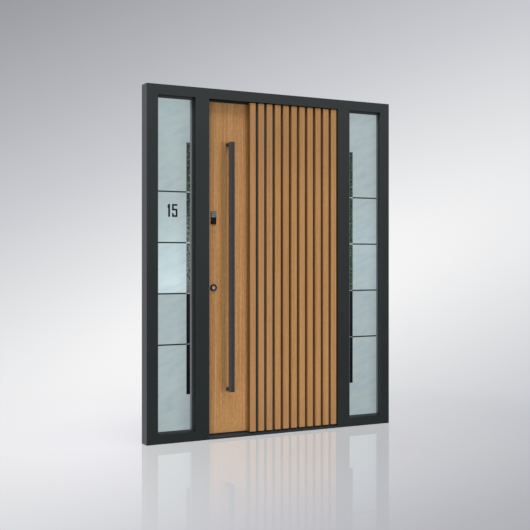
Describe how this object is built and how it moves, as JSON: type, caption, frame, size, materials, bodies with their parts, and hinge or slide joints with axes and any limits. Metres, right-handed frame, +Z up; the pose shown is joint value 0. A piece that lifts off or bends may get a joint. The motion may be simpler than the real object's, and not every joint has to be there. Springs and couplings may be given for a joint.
{
  "type": "front door",
  "caption": "Hinged front door leaf with a ribbed wooden field, a flat wooden panel and a long bar handle, in a dark metal frame with a frosted glass sidelight on each side.",
  "frame": {"origin": "middle of the threshold's underside, on the floor, half way through the frame's depth", "axes": "+Z up, +X to the right seen from the street, +Y from the street into the house"},
  "size_m": [1.806, 0.1865, 2.23],
  "materials": {
    "frame_metal": "anthracite fine-textured powder coat",
    "leaf_metal": "anthracite powder coat",
    "threshold_metal": "dark anodised",
    "frosted_glass": "satin etched with clear lines",
    "clear_glass": "clear float glass",
    "spacer_black": "black warm edge",
    "seal_rubber": "black",
    "oak": "oiled, upright grain",
    "groove_board": "dark stained board",
    "handle_metal": "dark grey satin",
    "steel": "brushed",
    "hinge_metal": "anthracite powder coat",
    "reader_black": "black gloss",
    "reader_sensor": "grey gloss window"
  },
  "bodies": {
    "frame": {"frame_left_jamb": "frame_metal", "frame_right_jamb": "frame_metal", "frame_head": "frame_metal", "left_mullion": "frame_metal", "right_mullion": "frame_metal", "left_sill_rail": "frame_metal", "right_sill_rail": "frame_metal", "threshold": "threshold_metal", "left_outer_pane": "frosted_glass", "right_outer_pane": "frosted_glass", "left_inner_pane": "clear_glass", "right_inner_pane": "clear_glass", "glass_spacers": "spacer_black", "glazing_gaskets": "seal_rubber", "glazing_beads": "frame_metal", "door_seal": "seal_rubber", "strike_plate": "steel", "hinge_frame_wings": "hinge_metal", "hinge_pins": "hinge_metal"},
    "leaf": {"leaf_core": "leaf_metal", "flat_panel": "oak", "slat_backing": "groove_board", "slat_01": "oak", "slat_02": "oak", "slat_03": "oak", "slat_04": "oak", "slat_05": "oak", "slat_06": "oak", "slat_07": "oak", "slat_08": "oak", "slat_09": "oak", "slat_10": "oak", "slat_11": "oak", "inner_panel": "oak", "handle_bar": "handle_metal", "handle_posts": "handle_metal", "lock_rosette": "handle_metal", "lock_cylinder": "steel", "reader_housing": "reader_black", "reader_sensor": "reader_sensor", "inner_lever": "handle_metal", "inner_rosettes": "handle_metal", "lock_faceplate": "steel", "lock_bolts": "steel", "hinge_leaf_wings": "hinge_metal"}
  },
  "joints": [
    {"name": "leaf_swing", "type": "hinge", "parent": "frame", "child": "leaf", "pos_m": [0.4945, 0.056, 1.1], "axis": [0, 0, -1], "range_deg": [0, 110]}
  ]
}
